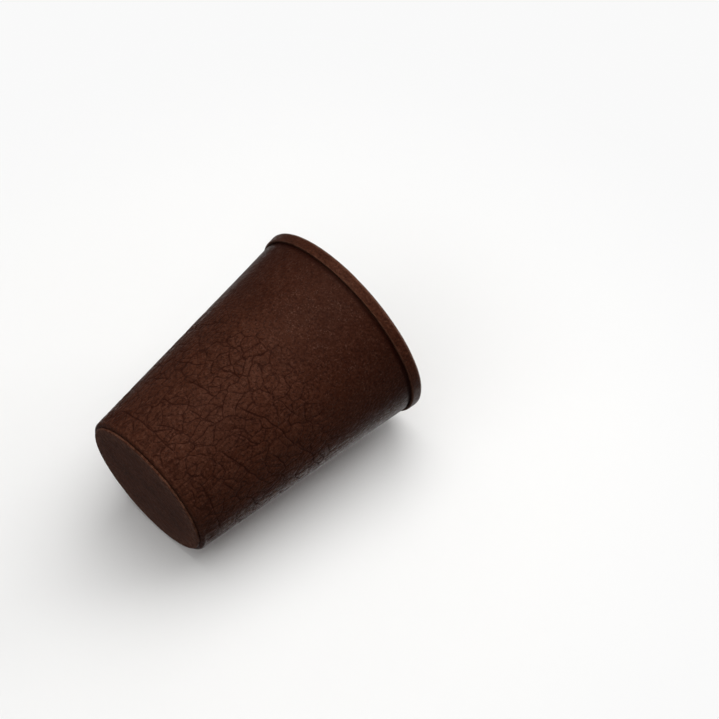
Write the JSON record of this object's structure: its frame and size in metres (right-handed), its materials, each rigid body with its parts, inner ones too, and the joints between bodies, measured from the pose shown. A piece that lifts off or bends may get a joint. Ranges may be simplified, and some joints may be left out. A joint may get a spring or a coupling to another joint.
{
  "type": "leather dice cup",
  "caption": "Tapered round dice cup: leather-wrapped stiff wall, folded leather rim binding, suede lining, felt floor pad and flat leather base.",
  "frame": {"origin": "centre of the underside of the leather base, where the cup stands", "axes": "+Z is the cup's axis, from the base to the mouth; +Y points to the lapped side seam"},
  "size_m": [0.073, 0.073, 0.09],
  "materials": {
    "fibreboard": "matte pressed fibreboard",
    "wrap_leather": "matte dark brown leather, crackled and finely pebbled",
    "thread": "waxed twisted thread",
    "base_leather": "matte dark brown leather",
    "binding_leather": "smooth satin dark brown leather",
    "suede_lining": "napped suede",
    "card": "matte card",
    "felt": "pressed wool felt"
  },
  "bodies": {
    "root": {"board_cone": "fibreboard", "board_base": "fibreboard", "leather_wrap": "wrap_leather", "seam_thread": "thread", "base_leather": "base_leather", "rim_binding": "binding_leather", "wall_lining": "suede_lining", "floor_card": "card", "floor_felt": "felt"}
  },
  "joints": []
}
